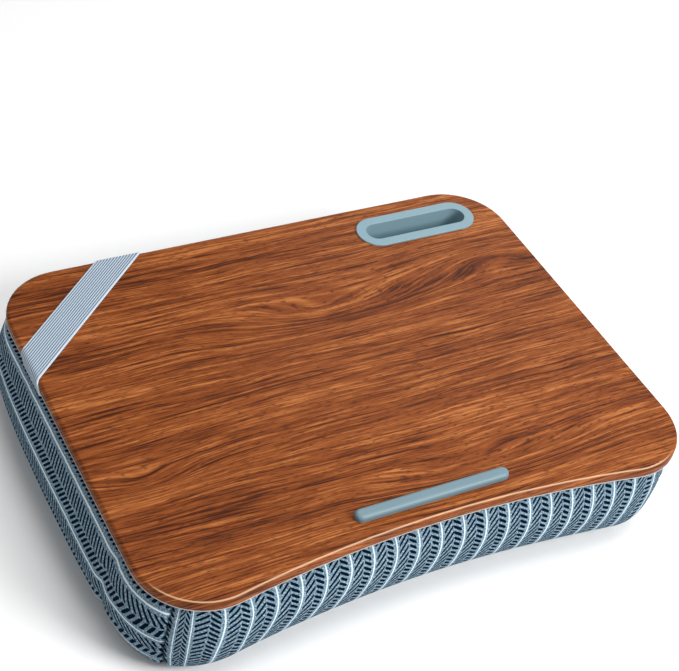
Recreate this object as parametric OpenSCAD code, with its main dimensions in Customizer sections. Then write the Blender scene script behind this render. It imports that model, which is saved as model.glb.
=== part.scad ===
// Lap desk: a wood-grain board on a soft bead cushion, with an elastic strap across
// one rear corner, a device ledge at the front and a moulded phone slot at the rear.
// Millimetres. The desk stands on z = 0, x runs to its right and y runs to its rear.

/* [Board] */
// Width of the board, side to side
board_w = 445; // [445, 450, 460]
// Depth of the board, from its front lobes to its rear edge
board_d = 343; // [335:1:365]
// Thickness of the board with its film and its backing
board_t = 8; // [7:0.5:10]
// Radius of the corners, seen from above
corner_r = 50; // [46, 48, 49, 50, 51, 52]
// How far the front edge is scooped back at its middle
scoop = 15; // [15, 16, 18]
// Rounding of the upper edge
edge_r = 3; // [2:0.5:4]
// Thickness of the wood-grain film
film_t = 0.4; // [0.3:0.1:0.6]
// Thickness of the backing sheet
backing_t = 1; // [0.6:0.2:1.4]

/* [Cushion] */
// Height of the board's underside above the ground
cushion_h = 72; // [66:1:80]
// How far the cushion swells past the board all round
crown = 5; // [2:0.5:7]
// Further swelling at the middle of the left and right sides
side_crown = 10; // [4:0.5:12]
// Further swelling at the middle of the rear side
rear_crown = 3; // [0:0.5:5]
// Further swelling at the middle of the front, which keeps it straight under the scoop
front_crown = 6; // [0:0.5:8]
// How far the edge of the flat underside lies inside the board's outline
foot_inset = 9; // [7:1:20]
// How much further in that edge lies at the middle of the front
front_roll = 38; // [20:1:44]
// How much further in that edge lies at the middle of the rear
rear_roll = 20; // [8:1:30]
// How far the cover is drawn in where it meets the board
tuck = 4; // [3:0.5:6]
// Thickness of the printed cloth
cloth_t = 0.8; // [0.6:0.1:1]
// Thickness of the cloth of the inner bag
lining_t = 0.5; // [0.4:0.1:0.6]
// Thickness of the felt panel under the board
felt_t = 3.5; // [3.5:0.1:4.5]

/* [Device ledge] */
// Length of the ledge
ledge_l = 127; // [110:1:150]
// Width of the ledge, front to back
ledge_w = 10; // [9:0.5:12]
// Height of the ledge above the board
ledge_h = 5.5; // [5:0.5:8]
// Rounding of the ledge's upper edges
ledge_round = 3; // [2:0.5:4]
// Distance from the deepest point of the scoop to the middle of the ledge
ledge_back = 18; // [12:1:24]
// Distance between the two screws of the ledge
screw_span = 90; // [70:1:96]

/* [Phone slot] */
// Inside length of the slot
slot_l = 95; // [85:1:105]
// Inside width of the slot
slot_w = 19; // [16:0.5:21]
// Width of the rim round the slot
rim_w = 8.5; // [7:0.5:10]
// Height of the rim above the board
rim_h = 1.5; // [1.2:0.1:2]
// Depth from the board's top face to the underside of the cup
cup_depth = 22; // [18:1:24]
// Wall of the cup
cup_wall = 1.6; // [1.2:0.1:2]
// Distance from the board's right edge to the rim
slot_from_right = 25; // [22:1:32]
// Distance from the board's rear edge to the middle of the slot
slot_from_rear = 34.5; // [31:0.5:38]

/* [Strap] */
// Width of the elastic strap
strap_w = 25.4; // [20:0.1:30]
// Thickness of the elastic strap
strap_t = 1.2; // [1:0.1:1.4]
// Distance from the rear edge to where the strap crosses the left edge
strap_down = 96; // [85:1:105]
// Distance from the left edge to where the strap crosses the rear edge
strap_in = 107; // [95:1:115]
// How far each tail reaches in under the board
strap_tail = 32; // [30:1:40]

/* [Colours] */
// Wood-grain film
wood_colour = "#8f4f2b";
// Fibreboard
core_colour = "#b08d63";
// Backing sheet
backing_colour = "#cfd0cd";
// Moulded plastic
plastic_colour = "#86a5b5";
// Elastic strap
strap_colour = "#9fb6cc";
// Printed cloth
cloth_colour = "#7c9cba";
// Felt and inner cloth
felt_colour = "#39434f";
// Beads
bead_colour = "#ecebe4";
// Screws and staples
steel_colour = "#b9bcc0";

/* [Hidden] */
$fn = 96;

// Heights of the board's faces
underside = cushion_h;
core_bottom = underside + backing_t;
board_top = underside + board_t;

// Outline of the board: four corner arcs, and a front scoop that is tangent to two of them
half_w = board_w / 2;
half_d = board_d / 2;
arc_x = half_w - corner_r;
arc_y = half_d - corner_r;
rise = corner_r - scoop;
scoop_r = (pow(arc_x, 2) + pow(rise, 2) - pow(corner_r, 2)) / (2 * scoop);
scoop_y = scoop - half_d - scoop_r;
scoop_a = round(1000 * acos(arc_x / (scoop_r + corner_r))) / 1000;
scoop_fn = 720;

// Ledge
ledge_y = scoop - half_d + ledge_back;
screw_r = 1.5;
screw_gap = 0.2;
screw_l = 12;
screw_head_r = 3.2;
screw_head_h = 1.8;

// Phone slot
cup_l = slot_l + 2 * cup_wall;
cup_w = slot_w + 2 * cup_wall;
cup_bottom = board_top - cup_depth;
slot_x = half_w - slot_from_right - rim_w - slot_l / 2;
slot_y = half_d - slot_from_rear;
slot_gap = 0.5;
barb_l = 8;
barb_out = 1.2;
barb_h = 3;

// Strap: it runs straight from the left edge to the rear edge, round each edge and on
// in the same line of the cloth, so both tails point the same way under the board
strap_gap = 0.3;
strap_len = norm([strap_in, strap_down]);
strap_dir = [strap_in, strap_down] / strap_len;
fold_run = edge_r * PI / 2 + board_t - edge_r;
tail_angle = atan2(-strap_dir[1], strap_dir[0]);
staple_w = 12;
staple_wire = 0.6;
staple_leg = 6;
staple_places = [16, 28];
tail_room = strap_gap + strap_t + strap_gap + staple_wire + strap_gap;
tail_len = strap_tail / strap_dir[1] + strap_w;

// Cushion
wall_h = cushion_h - 2;
belly_h = 0.52 * wall_h;
roundness = 0.91;
puff_rise = 0.6;
puff_fall = 2.5;
top_fall = 2.2;
cloth_gap = 0.4;
felt_bottom = underside - felt_t;
pocket_gap = 2;
pocket_t = 1;
pocket_bottom = cup_bottom - slot_gap - pocket_t;
lining_top = felt_bottom - cloth_gap;
fill_gap = 0.5;
cover_detail = 2;
filling_detail = 1;

// Board

// Section through the board's edge, from x = 0 out to its face at x = reach
module edge_section(reach, bottom, top, round) {
    translate([0, bottom])
        square([reach, top - bottom - round]);
    translate([0, bottom])
        square([reach - round, top - bottom]);
    if (round > 0)
        translate([reach - round, top - round])
            circle(round);
}

// Sweep a section round the board's outline: three straight edges, four corners and the
// front scoop. Within the corner centres the field is filled from bottom to top
module board_sweep(bottom, top) {
    translate([0, 0, bottom])
        linear_extrude(top - bottom)
            square([2 * arc_x, 2 * arc_y], center = true);
    for (flip = [0, 1]) mirror([flip, 0, 0]) {
        translate([arc_x, arc_y, 0])
            rotate([90, 0, 0])
                linear_extrude(2 * arc_y)
                    children();
        translate([arc_x, arc_y, 0])
            rotate_extrude(angle = 90)
                children();
        translate([arc_x, -arc_y, 0])
            mirror([0, 1, 0])
                rotate_extrude(angle = 180 - scoop_a)
                    children();
    }
    rotate([0, 0, 90])
        translate([arc_y, arc_x, 0])
            rotate([90, 0, 0])
                linear_extrude(2 * arc_x)
                    children();
    translate([0, scoop_y, 0])
        rotate([0, 0, scoop_a])
            rotate_extrude(angle = 180 - 2 * scoop_a, $fn = scoop_fn) {
                translate([scoop_r + corner_r, 0])
                    mirror([1, 0])
                        children();
                translate([scoop_r + corner_r - 1, bottom])
                    square([2, top - bottom]);
            }
}

module stadium(length, width) {
    square([length - width, width], center = true);
    for (side = [-1, 1])
        translate([side * (length - width) / 2, 0])
            circle(d = width);
}

module slot_opening(gap) {
    translate([slot_x, slot_y, underside - 1])
        linear_extrude(board_t + 2)
            stadium(cup_l + 2 * gap, cup_w + 2 * gap);
}

module woodgrain_film() {
    color(wood_colour)
        difference() {
            board_sweep(board_top - film_t, board_top)
                difference() {
                    edge_section(corner_r, core_bottom, board_top, edge_r);
                    edge_section(corner_r - film_t, core_bottom - 1, board_top - film_t, edge_r - film_t);
                }
            slot_opening(slot_gap);
            ledge_screw_places() screw(screw_gap);
        }
}

module board_core() {
    color(core_colour)
        difference() {
            board_sweep(core_bottom, board_top - film_t)
                edge_section(corner_r - film_t, core_bottom, board_top - film_t, edge_r - film_t);
            slot_opening(slot_gap);
            ledge_screw_places() screw(screw_gap);
            staple_sites() staple();
        }
}

module backing_sheet() {
    color(backing_colour)
        difference() {
            board_sweep(underside, core_bottom)
                edge_section(corner_r, underside, core_bottom, 0);
            slot_opening(slot_gap);
            ledge_screw_places() screw(screw_gap);
            staple_sites() staple();
        }
}

// Ledge

module ledge_screw_places() {
    for (side = [-1, 1])
        translate([side * screw_span / 2, ledge_y, underside])
            children();
}

// Countersunk screw, its head flush with the board's underside
module screw(gap) {
    cylinder(h = screw_head_h, r1 = screw_head_r, r2 = screw_r);
    cylinder(h = screw_l, r = screw_r + gap);
}

// Rectangle with its two upper corners rounded
module eased_rect(width, height, round) {
    square([width, height - round]);
    translate([round, 0])
        square([width - 2 * round, height]);
    for (x = [round, width - round])
        translate([x, height - round])
            circle(round);
}

// Sweep a section round a track of two straights and two half turns
module track(straight, radius) {
    for (turn = [0, 180]) rotate([0, 0, turn]) {
        translate([straight / 2, 0, 0])
            rotate([0, 0, -90])
                rotate_extrude(angle = 180)
                    translate([radius, 0])
                        children();
        translate([-straight / 2, 0, 0])
            rotate([90, 0, 90])
                linear_extrude(straight)
                    translate([radius, 0])
                        children();
    }
}

module device_ledge() {
    color(plastic_colour)
        difference() {
            translate([0, ledge_y, board_top])
                track(ledge_l - ledge_w, 0)
                    intersection() {
                        translate([-ledge_w / 2, 0])
                            eased_rect(ledge_w, ledge_h, ledge_round);
                        square([ledge_w, ledge_h]);
                    }
            ledge_screw_places() screw(0);
        }
}

module ledge_screws() {
    color(steel_colour)
        ledge_screw_places() screw(0);
}

// Phone slot

// Section through the moulding: the cup's wall below, the rim above, inner face on x = 0
module liner_section() {
    square([cup_wall, cup_depth]);
    translate([0, cup_depth])
        eased_rect(rim_w, rim_h, 0.6);
}

module slot_liner() {
    straight = slot_l - slot_w;
    color(plastic_colour)
        translate([slot_x, slot_y, cup_bottom]) {
            track(straight, slot_w / 2)
                liner_section();
            linear_extrude(cup_wall)
                stadium(slot_l + cup_wall, slot_w + cup_wall);
            for (turn = [0, 180], side = [-1, 1])
                rotate([0, 0, turn])
                    translate([side * straight / 3, cup_w / 2, cup_depth - board_t])
                        barb();
        }
}

// Snap barb on the cup's wall: it slopes out from below and catches under the board
module barb() {
    rotate([90, 0, -90])
        translate([0, 0, -barb_l / 2])
            linear_extrude(barb_l)
                polygon([[0, -barb_h], [0, 0], [-barb_out, 0]]);
}

// Strap

// Stations from the start of the left or rear edge's rounding to the end of the tail.
// Each is [outward of the edge, height, angle of the face's normal, strap laid so far]
function fold_stations() = concat(
    [for (a = [90:-22.5:22.5]) [edge_r * (cos(a) - 1), board_top - edge_r * (1 - sin(a)), a,
        edge_r * (90 - a) * PI / 180]],
    [[0, board_top - edge_r, 0, edge_r * PI / 2]],
    [for (a = [0:-45:-90]) [0, underside, a, fold_run]],
    [[-strap_tail, underside, -90, fold_run + strap_tail]]
);

// One row of points across the strap, at a station and a height off the board's face
function left_row(s, lift) = [for (side = [-0.5, 0.5])
    [-half_w - s[0] - lift * cos(s[2]),
     half_d - strap_down + (edge_r - s[3]) * strap_dir[1] / strap_dir[0] + side * strap_w / strap_dir[0],
     s[1] + lift * sin(s[2])]];

function rear_row(s, lift) = [for (side = [0.5, -0.5])
    [strap_in - half_w + (s[3] - edge_r) * strap_dir[0] / strap_dir[1] + side * strap_w / strap_dir[1],
     half_d + s[0] + lift * cos(s[2]),
     s[1] + lift * sin(s[2])]];

function strap_rows(lift) = let (stations = fold_stations(), last = len(stations) - 1) concat(
    [for (k = [last:-1:0]) left_row(stations[k], lift)],
    [for (k = [0:last]) rear_row(stations[k], lift)]
);

// Place children at each tail, where it turns under the board, with x along the tail
module tails() {
    slope = strap_dir[1] / strap_dir[0];
    translate([-half_w, half_d - strap_down + (edge_r - fold_run) * slope, underside])
        rotate([0, 0, tail_angle])
            children();
    translate([strap_in - half_w + (fold_run - edge_r) / slope, half_d, underside])
        rotate([0, 0, tail_angle])
            children();
}

module staple_sites() {
    tails()
        for (x = staple_places)
            translate([x, 0, 0])
                children();
}

// One staple, driven up through the tail into the board
module staple(gap = 0) {
    wire = staple_wire + 2 * gap;
    crown_z = tail_room - strap_gap;
    translate([-wire / 2, -staple_w / 2 - gap, -crown_z])
        cube([wire, staple_w + 2 * gap, staple_wire]);
    for (side = [-1, 1])
        translate([-wire / 2, side * (staple_w - staple_wire) / 2 - wire / 2, -crown_z])
            cube([wire, wire, crown_z + staple_leg]);
}

module elastic_strap() {
    color(strap_colour)
        difference() {
            sheet(strap_rows(strap_gap + strap_t), strap_rows(strap_gap));
            staple_sites() staple(strap_gap);
        }
}

module strap_staples() {
    color(steel_colour)
        staple_sites() staple();
}

// Sheets: closed solids between two grids of points

function flat(rows) = [for (row = rows) each row];

function reversed(list) = [for (k = [len(list) - 1:-1:0]) list[k]];

function turned(faces) = [for (face = faces) reversed(face)];

// Triangles of a grid of points, the first of which has the index start
function grid_faces(rows, cols, start) = [for (r = [0:rows - 2], c = [0:cols - 2])
    let (a = start + r * cols + c, b = a + 1, d = a + cols, e = d + 1)
    each [[a, d, b], [b, d, e]]];

function rim_loop(rows, cols) = concat(
    [for (c = [0:cols - 1]) c],
    [for (r = [1:rows - 1]) r * cols + cols - 1],
    [for (c = [cols - 2:-1:0]) (rows - 1) * cols + c],
    [for (r = [rows - 2:-1:1]) r * cols]
);

// Triangles that join a loop of points to the same loop, back places further on
function rim_faces(loop, back) = [for (k = [0:len(loop) - 1])
    let (a = loop[k], b = loop[(k + 1) % len(loop)])
    each [[a, b, a + back], [b, b + back, a + back]]];

module sheet(outer, inner) {
    rows = len(outer);
    cols = len(outer[0]);
    back = rows * cols;
    polyhedron(
        concat(flat(outer), flat(inner)),
        concat(
            grid_faces(rows, cols, 0),
            turned(grid_faces(rows, cols, back)),
            rim_faces(rim_loop(rows, cols), back)
        )
    );
}

// Cushion

// Points of an arc or a line as [x, y, outward x, outward y], without the last point
function arc(x, y, r, from, to, n) = [for (k = [0:n - 1])
    let (a = from + (to - from) * k / n)
    [x + r * cos(a), y + r * sin(a), cos(a), sin(a)]];

function line(a, b, out, n) = [for (k = [0:n - 1])
    let (p = a + (b - a) * k / n)
    [p[0], p[1], out[0], out[1]]];

// The outline between the seams, which lie at the middle of the corner arcs
function front_run(n) = concat(
    arc(-arc_x, -arc_y, corner_r, 225, 360 - scoop_a, 2 * n),
    [for (k = [0:10 * n - 1])
        let (a = 180 - scoop_a - (180 - 2 * scoop_a) * k / (10 * n))
        [scoop_r * cos(a), scoop_y + scoop_r * sin(a), -cos(a), -sin(a)]],
    arc(arc_x, -arc_y, corner_r, scoop_a - 180, -45, 2 * n)
);

function right_run(n) = concat(
    arc(arc_x, -arc_y, corner_r, -45, 0, 2 * n),
    line([half_w, -arc_y], [half_w, arc_y], [1, 0], 5 * n),
    arc(arc_x, arc_y, corner_r, 0, 45, 2 * n)
);

function rear_run(n) = concat(
    arc(arc_x, arc_y, corner_r, 45, 90, 2 * n),
    line([arc_x, half_d], [-arc_x, half_d], [0, 1], 10 * n),
    arc(-arc_x, arc_y, corner_r, 90, 135, 2 * n)
);

function left_run(n) = concat(
    arc(-arc_x, arc_y, corner_r, 135, 180, 2 * n),
    line([-half_w, arc_y], [-half_w, -arc_y], [-1, 0], 5 * n),
    arc(-arc_x, -arc_y, corner_r, 180, 225, 2 * n)
);

// A run with the first point of the next one, so that it ends on the seam
function closed_run(run, next) = concat(run, [next[0]]);

function whole_outline(n) = concat(front_run(n), right_run(n), rear_run(n), left_run(n));

// Levels of the cover from the ground up, as [height, outward, inward share, upward share,
// share of the roll]: a rounded foot up to the belly, then drawn in towards the board
function levels(n) = concat(
    [for (k = [0:2 * n])
        let (a = 90 - 45 * k / n, turn = 1 - pow(cos(a), roundness))
        [belly_h * (1 - pow(sin(a), roundness)),
         crown - (crown + foot_inset) * turn, cos(a), sin(a), turn]],
    [for (k = [1:2 * n])
        let (u = k / (2 * n))
        [belly_h + (wall_h - belly_h) * u, crown - (crown + tuck) * pow(u, top_fall), 1, 0, 0]]
);

// Full at the middle of a side and nothing at its corners
function midway(along, half) = max(0, 1 - pow(abs(along) / half, puff_fall));

// Each side's share of a swelling or a roll that is given for the sides, rear and front
function by_side(p, side, rear, front) =
    side * abs(p[2]) * midway(p[1], half_d)
    + (rear * max(0, p[3]) + front * max(0, -p[3])) * midway(p[0], half_w);

// Further swelling of the long sides, none at the corners, the ground or the board
function puff(p, height) =
    by_side(p, side_crown, rear_crown, front_crown) * pow(max(0, sin(180 * height / wall_h)), puff_rise);

// A point of the cushion's skin, shrunk inward, with the wall scaled to end at top
function skin(p, level, shrink, top) =
    let (roll = level[4] * by_side(p, 0, rear_roll, front_roll),
         out = level[1] + puff(p, level[0]) - roll - shrink * level[2])
    [p[0] + p[2] * out, p[1] + p[3] * out, level[0] * top / wall_h + shrink * level[3]];

function rings(points, n, shrink, top) = [for (level = levels(n))
    [for (p = points) skin(p, level, shrink, top)]];

module cover_wall(points) {
    sheet(rings(points, cover_detail, 0, wall_h), rings(points, cover_detail, cloth_t, wall_h));
}

// Triangles across the cushion's outline: rungs from the front run to the rear run, then
// a fan at each side. The loop holds the four runs' points, wide or deep in number
function cap_faces(loop, wide, deep) = let (corner = 2 * wide + deep) concat(
    [for (k = [0:wide - 1])
        each [[loop[k], loop[k + 1], loop[corner - k]],
              [loop[k + 1], loop[corner - k - 1], loop[corner - k]]]],
    [for (k = [wide + 1:wide + deep - 1]) [loop[wide], loop[k], loop[k + 1]]],
    [for (k = [corner + 1:corner + deep - 1]) [loop[corner], loop[k], loop[(k + 1) % len(loop)]]]
);

// Cushion form, solid, shrunk inward and ending in a flat top
module cushion_form(n, shrink, top) {
    skins = rings(whole_outline(n), n, shrink, top);
    rows = len(skins);
    cols = len(skins[0]);
    wide = len(front_run(n));
    deep = len(right_run(n));
    foot = [for (c = [0:cols - 1]) c];
    head = [for (c = foot) (rows - 1) * cols + c];
    polyhedron(
        flat(skins),
        concat(
            [for (r = [0:rows - 2], c = foot)
                let (a = r * cols + c, b = r * cols + (c + 1) % cols)
                each [[a, a + cols, b], [b, a + cols, b + cols]]],
            cap_faces(foot, wide, deep),
            turned(cap_faces(head, wide, deep))
        )
    );
}

// Plan of the cushion at a level, as a flat outline
module plan(level, shrink) {
    polygon([for (p = whole_outline(cover_detail))
        let (q = skin(p, level, shrink, wall_h))
        [q[0], q[1]]]);
}

// Front wall, underside and rear wall in one piece, since they are cut as one cloth.
// Points: the front wall's grid, the rear wall's grid, then the foot line of each side
module cover_wrap_panel() {
    n = cover_detail;
    front = closed_run(front_run(n), right_run(n));
    rear = closed_run(rear_run(n), left_run(n));
    right = [for (k = [1:len(right_run(n)) - 1]) right_run(n)[k]];
    left = [for (k = [1:len(left_run(n)) - 1]) left_run(n)[k]];
    rows = len(levels(n));
    cols = len(front);
    rear_start = rows * cols;
    right_start = 2 * rows * cols;
    left_start = right_start + len(right);
    back = left_start + len(left);
    function layer(shrink) = concat(
        flat(rings(front, n, shrink, wall_h)),
        flat(rings(rear, n, shrink, wall_h)),
        rings(right, n, shrink, wall_h)[0],
        rings(left, n, shrink, wall_h)[0]
    );
    function wall_edge(start) = concat(
        [for (r = [0:rows - 1]) start + r * cols + cols - 1],
        [for (c = [cols - 2:-1:0]) start + (rows - 1) * cols + c],
        [for (r = [rows - 2:-1:0]) start + r * cols]
    );
    foot_right = [for (k = [0:len(right) - 1]) right_start + k];
    foot_left = [for (k = [0:len(left) - 1]) left_start + k];
    foot_rear = [for (c = [0:cols - 1]) rear_start + c];
    foot = concat([for (c = [0:cols - 1]) c], foot_right, foot_rear, foot_left);
    edge = concat(wall_edge(0), reversed(foot_left), wall_edge(rear_start), reversed(foot_right));
    skin_faces = concat(
        grid_faces(rows, cols, 0),
        grid_faces(rows, cols, rear_start),
        cap_faces(foot, cols - 1, len(right) + 1)
    );
    lining_faces = [for (face = skin_faces) [for (k = face) k + back]];
    color(cloth_colour)
        polyhedron(
            concat(layer(0), layer(cloth_t)),
            concat(skin_faces, turned(lining_faces), rim_faces(edge, back))
        );
}

module cover_side_left() {
    color(cloth_colour)
        cover_wall(closed_run(left_run(cover_detail), front_run(cover_detail)));
}

module cover_side_right() {
    color(cloth_colour)
        cover_wall(closed_run(right_run(cover_detail), rear_run(cover_detail)));
}

// Pocket round the phone slot's cup, grown by gap
module cup_pocket(bottom, gap) {
    translate([slot_x, slot_y, bottom])
        linear_extrude(underside + 1 - bottom)
            stadium(cup_l + 2 * gap, cup_w + 2 * gap);
}

module cover_top_panel() {
    top_level = levels(cover_detail)[4 * cover_detail];
    color(felt_colour)
        difference() {
            union() {
                translate([0, 0, felt_bottom])
                    linear_extrude(felt_t)
                        plan(top_level, cloth_t + 0.2);
                intersection() {
                    cup_pocket(pocket_bottom, pocket_gap + pocket_t);
                    translate([0, 0, underside / 2])
                        cube([board_w, board_d, underside], center = true);
                }
            }
            cup_pocket(pocket_bottom + pocket_t, pocket_gap);
            tails()
                translate([-strap_w, -strap_w / 2 - 1, -tail_room])
                    cube([tail_len + strap_w, strap_w + 2, tail_room + 1]);
        }
}

// Bag open at the top, where its mouth is sewn under the felt
module lining_bag() {
    shrink = cloth_t + cloth_gap;
    color(felt_colour)
        difference() {
            cushion_form(filling_detail, shrink, lining_top);
            cushion_form(filling_detail, shrink + lining_t, lining_top + 1);
        }
}

module bead_fill() {
    shrink = cloth_t + cloth_gap + lining_t + fill_gap;
    color(bead_colour)
        difference() {
            cushion_form(filling_detail, shrink, lining_top);
            cup_pocket(pocket_bottom - cloth_gap, pocket_gap + pocket_t + cloth_gap);
        }
}

woodgrain_film();
board_core();
backing_sheet();
device_ledge();
ledge_screws();
slot_liner();
elastic_strap();
strap_staples();
cover_top_panel();
cover_wrap_panel();
cover_side_left();
cover_side_right();
lining_bag();
bead_fill();
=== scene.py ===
"""Lap desk: a wood-grain board on a printed bead cushion, with an elastic strap, a device
ledge and a moulded phone slot. Lengths are in metres; x runs right and y to the rear."""

import math

import bmesh
import bpy
import numpy as np
from mathutils import Euler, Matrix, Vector


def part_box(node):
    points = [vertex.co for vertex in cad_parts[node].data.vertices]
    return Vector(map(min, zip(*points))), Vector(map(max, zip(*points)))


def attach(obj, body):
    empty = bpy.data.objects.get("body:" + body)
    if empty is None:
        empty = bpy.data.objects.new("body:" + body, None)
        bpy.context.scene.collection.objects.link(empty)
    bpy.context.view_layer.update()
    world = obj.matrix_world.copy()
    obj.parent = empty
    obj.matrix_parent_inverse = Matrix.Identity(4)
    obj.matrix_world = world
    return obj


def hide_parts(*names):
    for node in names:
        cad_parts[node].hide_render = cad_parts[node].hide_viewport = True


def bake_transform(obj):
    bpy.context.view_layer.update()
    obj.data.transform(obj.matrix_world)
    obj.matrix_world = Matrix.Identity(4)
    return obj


bl_info = {
    "name": "Lap Desk",
    "version": (1, 0, 0),
    "blender": (4, 5, 0),
    "location": "View3D > Sidebar > Lap Desk",
    "description": "Dresses the lap desk's solids with its cloth, webbing, wood grain and plastic",
    "category": "Object",
}

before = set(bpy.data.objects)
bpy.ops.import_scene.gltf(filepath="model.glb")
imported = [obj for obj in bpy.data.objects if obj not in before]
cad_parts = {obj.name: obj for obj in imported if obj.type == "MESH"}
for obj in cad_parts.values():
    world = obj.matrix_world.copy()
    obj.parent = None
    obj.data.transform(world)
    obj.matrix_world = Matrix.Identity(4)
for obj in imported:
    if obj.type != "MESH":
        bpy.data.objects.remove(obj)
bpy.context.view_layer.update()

MM = 0.001
TINY = 1e-9     # metres, keeps a division safe where two points meet

# Half the board's width and depth, its top and the underside of its backing sheet
_, FILM_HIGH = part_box("woodgrain_film")
BACKING_LOW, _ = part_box("backing_sheet")
HALF_W = FILM_HIGH.x
HALF_D = FILM_HIGH.y
BOARD_TOP = FILM_HIGH.z
UNDERSIDE = BACKING_LOW.z


# Properties

def length_property(name, description, default, least, most):
    return bpy.props.FloatProperty(
        name=name, description=description, default=default, min=least, max=most,
        unit="LENGTH", precision=4)


def colour_property(name, description, default):
    return bpy.props.FloatVectorProperty(
        name=name, description=description, default=default + (1.0,), subtype="COLOR",
        size=4, min=0.0, max=1.0)


class LapDeskSizes(bpy.types.PropertyGroup):
    """Sizes of the board's outline, the cushion and the strap."""

    corner_radius: length_property(
        "Corner radius", "Radius of the board's corners seen from above",
        0.05, 0.04, 0.06)
    scoop: length_property(
        "Front scoop", "How far the front edge is scooped back at its middle",
        0.015, 0.01, 0.02)
    edge_radius: length_property(
        "Edge rounding", "Rounding of the board's upper edge",
        0.003, 0.002, 0.004)
    crown: length_property(
        "Crown", "How far the cushion swells past the board all round",
        0.005, 0.002, 0.007)
    side_crown: length_property(
        "Side crown", "Further swelling at the middle of the left and right sides",
        0.010, 0.004, 0.012)
    rear_crown: length_property(
        "Rear crown", "Further swelling at the middle of the rear side",
        0.003, 0.0, 0.005)
    front_crown: length_property(
        "Front crown", "Further swelling at the middle of the front, under the scoop",
        0.006, 0.0, 0.008)
    foot_inset: length_property(
        "Foot inset", "How far the flat underside's edge lies inside the board's outline",
        0.009, 0.007, 0.02)
    front_roll: length_property(
        "Front roll", "How much further in that edge lies at the middle of the front",
        0.038, 0.02, 0.044)
    rear_roll: length_property(
        "Rear roll", "How much further in that edge lies at the middle of the rear",
        0.020, 0.008, 0.03)
    tuck: length_property(
        "Tuck", "How far the cover is drawn in under the board",
        0.004, 0.003, 0.006)
    cloth: length_property(
        "Cloth thickness", "Thickness of the printed cloth",
        0.0008, 0.0006, 0.001)
    strap_width: length_property(
        "Strap width", "Width of the elastic strap",
        0.0254, 0.02, 0.03)
    strap_thickness: length_property(
        "Strap thickness", "Thickness of the strap without its ribs",
        0.0009, 0.0006, 0.0012)
    strap_down: length_property(
        "Strap down", "Distance from the rear edge to where the strap crosses the left edge",
        0.096, 0.085, 0.105)
    strap_in: length_property(
        "Strap in", "Distance from the left edge to where the strap crosses the rear edge",
        0.107, 0.095, 0.115)
    strap_ribs: bpy.props.IntProperty(
        name="Strap ribs", description="Number of lengthwise ribs of the strap",
        default=14, min=8, max=20)


class LapDeskPrint(bpy.types.PropertyGroup):
    """Sizes of the herringbone stripe printed on the cloth."""

    repeat: length_property(
        "Repeat", "Distance from one white stripe to the next",
        0.0187, 0.012, 0.026)
    stripe: length_property(
        "Stripe", "Width of a white stripe",
        0.0010, 0.0008, 0.003)
    fine_pitch: length_property(
        "Fine pitch", "Distance between two dashes of the fine column",
        0.0042, 0.003, 0.006)
    bold_pitch: length_property(
        "Bold pitch", "Distance between two dashes of the bold column",
        0.0043, 0.003, 0.006)


class LapDeskColours(bpy.types.PropertyGroup):
    """Colours of the finishes."""

    wood_dark: colour_property("Wood, dark", "Darkest streaks of the grain", (0.045, 0.008, 0.001))
    wood_mid: colour_property("Wood, middle", "Ground colour of the grain", (0.205, 0.050, 0.009))
    wood_light: colour_property("Wood, light", "Lightest streaks of the grain", (0.430, 0.150, 0.040))
    # Colour of the painted highlight on the rounding of the front edge
    wood_edge_highlight: colour_property("Wood, edge", "Film rubbed pale along the front edge", (0.800, 0.560, 0.350))
    cloth_ground: colour_property("Cloth ground", "Ground of the printed cloth", (0.158, 0.250, 0.328))
    cloth_navy: colour_property("Cloth navy", "Dashes printed on the cloth", (0.0006, 0.0055, 0.0150))
    cloth_white: colour_property("Cloth white", "Stripes printed on the cloth", (0.640, 0.750, 0.800))
    plastic: colour_property("Plastic", "Moulded ledge and phone slot", (0.145, 0.225, 0.260))
    webbing: colour_property("Webbing", "Ribs of the elastic strap", (0.440, 0.530, 0.610))
    webbing_gap: colour_property("Webbing gaps", "Threads between the ribs", (0.020, 0.045, 0.100))
    backing: colour_property("Backing", "Sheet under the board", (0.400, 0.385, 0.370))
    fibreboard: colour_property("Fibreboard", "Core of the board", (0.370, 0.250, 0.140))
    felt: colour_property("Felt", "Panel under the board", (0.035, 0.045, 0.060))
    lining: colour_property("Lining", "Cloth of the inner bag", (0.300, 0.330, 0.370))
    beads: colour_property("Beads", "Beads of the filling", (0.800, 0.790, 0.760))
    steel: colour_property("Steel", "Screws and staples", (0.500, 0.510, 0.530))
    floor: colour_property("Floor", "Pale floor", (0.860, 0.860, 0.860))


# Materials

class Value:
    """A number or vector in a material's nodes, which can be added, multiplied and so on."""

    def __init__(self, graph, socket):
        self.graph = graph
        self.socket = socket

    def __add__(self, other):
        return self.graph.calc("ADD", self, other)

    def __sub__(self, other):
        return self.graph.calc("SUBTRACT", self, other)

    def __mul__(self, other):
        return self.graph.calc("MULTIPLY", self, other)

    def __truediv__(self, other):
        return self.graph.calc("DIVIDE", self, other)

    def __radd__(self, other):
        return self.graph.calc("ADD", other, self)

    def __rsub__(self, other):
        return self.graph.calc("SUBTRACT", other, self)

    def __neg__(self):
        return self.graph.calc("MULTIPLY", self, -1.0)

    def __abs__(self):
        return self.graph.calc("ABSOLUTE", self)


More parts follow.
